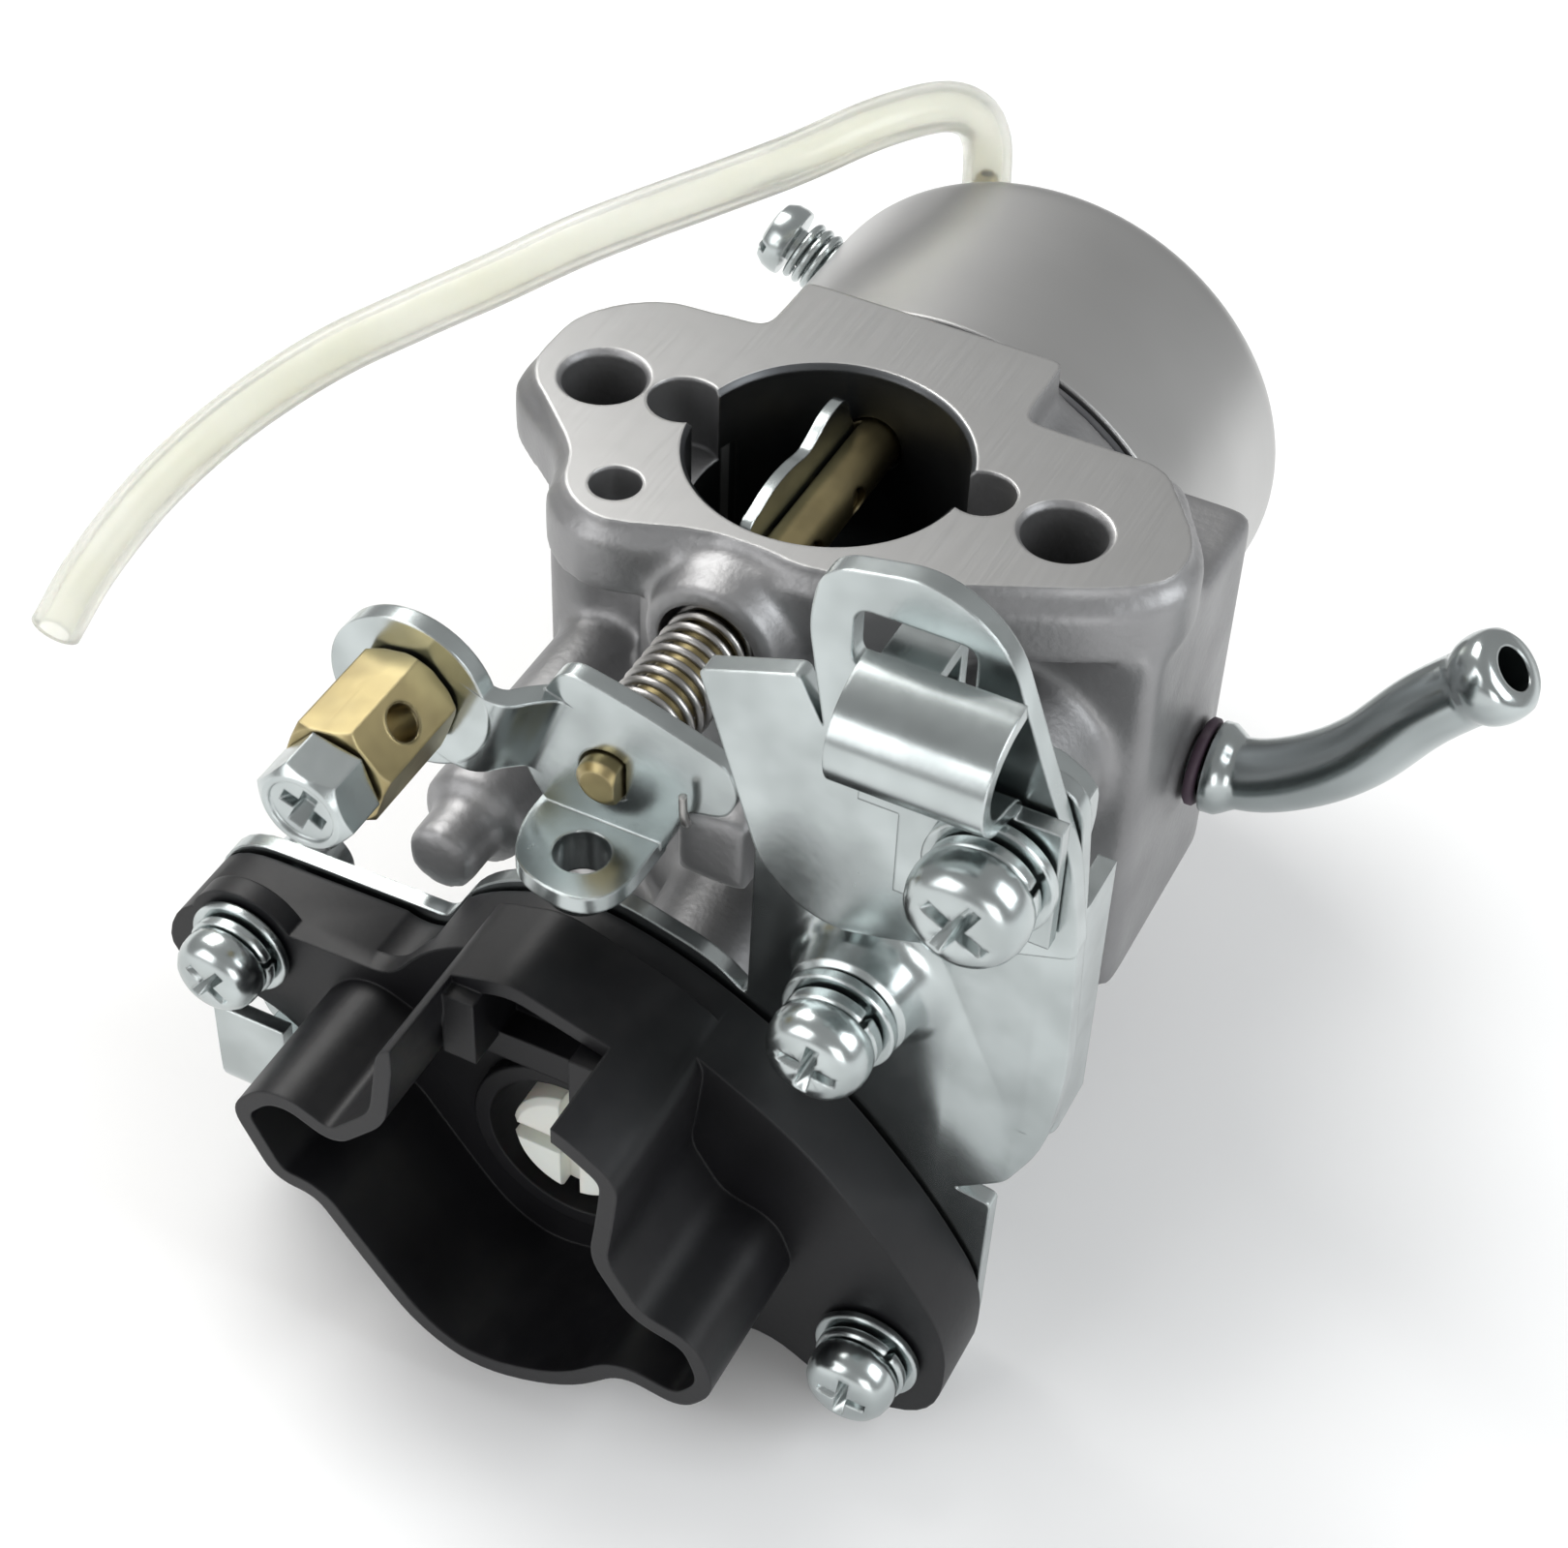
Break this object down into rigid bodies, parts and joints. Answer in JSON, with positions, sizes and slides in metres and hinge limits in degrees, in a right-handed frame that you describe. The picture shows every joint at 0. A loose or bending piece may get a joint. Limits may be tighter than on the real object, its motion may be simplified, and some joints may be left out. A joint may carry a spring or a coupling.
{
  "type": "small engine carburetor",
  "caption": "Die-cast float carburetor with side bowl, cable-worked choke, stepper-motor throttle cup, fuel inlet pipe and a clear drain hose",
  "frame": {"origin": "centre of the bore on the engine flange face", "axes": "+Z along the bore from the engine flange to the intake flange, X along the line of the two stud holes, motor cup towards -Y, float bowl towards +Y"},
  "size_m": [0.1255, 0.1132, 0.0864],
  "materials": {
    "cast_aluminium": "as-cast, satin",
    "turned_aluminium": "spun and polished, fine rings",
    "zinc_plate": "clear zinc plate, semi-bright",
    "steel": "bright steel",
    "brass": "dull brass",
    "black_plastic": "satin moulded black",
    "acetal": "satin off-white",
    "rubber": "matt",
    "clear_vinyl": "translucent, slightly yellow",
    "fibre": "matt grey fibre"
  },
  "bodies": {
    "housing": {"carb_body": "cast_aluminium", "float_bowl": "turned_aluminium", "fuel_inlet_pipe": "zinc_plate", "bowl_bolt": "zinc_plate", "motor_base_plate": "zinc_plate", "cable_bracket": "zinc_plate", "cable_saddle": "zinc_plate", "clamp_screw_nut": "zinc_plate", "clamp_screw": "zinc_plate", "clamp_screw_washer": "zinc_plate", "clamp_screw_spring_washer": "zinc_plate", "plate_screw": "zinc_plate", "plate_screw_washer": "zinc_plate", "plate_screw_spring_washer": "zinc_plate", "holder_screw_left": "zinc_plate", "holder_screw_left_washer": "zinc_plate", "holder_screw_left_spring_washer": "zinc_plate", "holder_screw_right": "zinc_plate", "holder_screw_right_washer": "zinc_plate", "holder_screw_right_spring_washer": "zinc_plate", "float_pin": "steel", "drain_screw_spring": "steel", "choke_return_spring": "steel", "passage_plug": "brass", "main_nozzle": "brass", "main_jet": "brass", "inlet_valve_seat": "brass", "drain_nipple": "brass", "motor_holder": "black_plastic", "inlet_pipe_seal": "rubber", "bowl_gasket": "rubber", "drain_hose": "clear_vinyl", "bowl_bolt_washer": "fibre", "throttle_shaft_seal": "fibre"},
    "choke": {"choke_shaft": "brass", "choke_plate": "zinc_plate", "choke_plate_screw_front": "brass", "choke_plate_screw_back": "brass", "choke_lever": "zinc_plate"},
    "cable_end": {"cable_anchor": "brass", "anchor_clamp_screw": "zinc_plate"},
    "throttle": {"throttle_shaft": "steel", "throttle_plate": "brass", "throttle_plate_screw": "brass", "motor_coupling": "acetal"},
    "float_body": {"float": "acetal"},
    "needle": {"inlet_needle": "rubber"},
    "drain": {"drain_screw": "zinc_plate"}
  },
  "joints": [
    {"name": "choke_hinge", "type": "hinge", "parent": "housing", "child": "choke", "pos_m": [-0.0012, 0, 0.0464], "axis": [0, 1, 0], "range_deg": [0, 75], "stiffness_Nm_per_rad": 0.01, "springref_deg": -17.19},
    {"name": "cable_end_swivel", "type": "hinge", "parent": "choke", "child": "cable_end", "pos_m": [-0.01595, -0.038, 0.05177], "axis": [0, 1, 0], "continuous": true},
    {"name": "throttle_hinge", "type": "hinge", "parent": "housing", "child": "throttle", "pos_m": [0, 0, 0.0118], "axis": [0, 1, 0], "range_deg": [0, 76]},
    {"name": "float_hinge", "type": "hinge", "parent": "housing", "child": "float_body", "pos_m": [0.0188, 0.0242, 0.0266], "axis": [0, 0, -1], "range_deg": [0, 6]},
    {"name": "needle_slide", "type": "slide", "parent": "housing", "child": "needle", "axis": [0, 1, 0], "range_m": [0, 0.0006]},
    {"name": "drain_screw_slide", "type": "slide", "parent": "housing", "child": "drain", "axis": [-0.9336, 0, 0.3584], "range_m": [0, 0.0025]}
  ],
  "couplings": [
    {"joint": "needle_slide", "follows": "float_hinge", "m_per_rad": 0.0053}
  ]
}
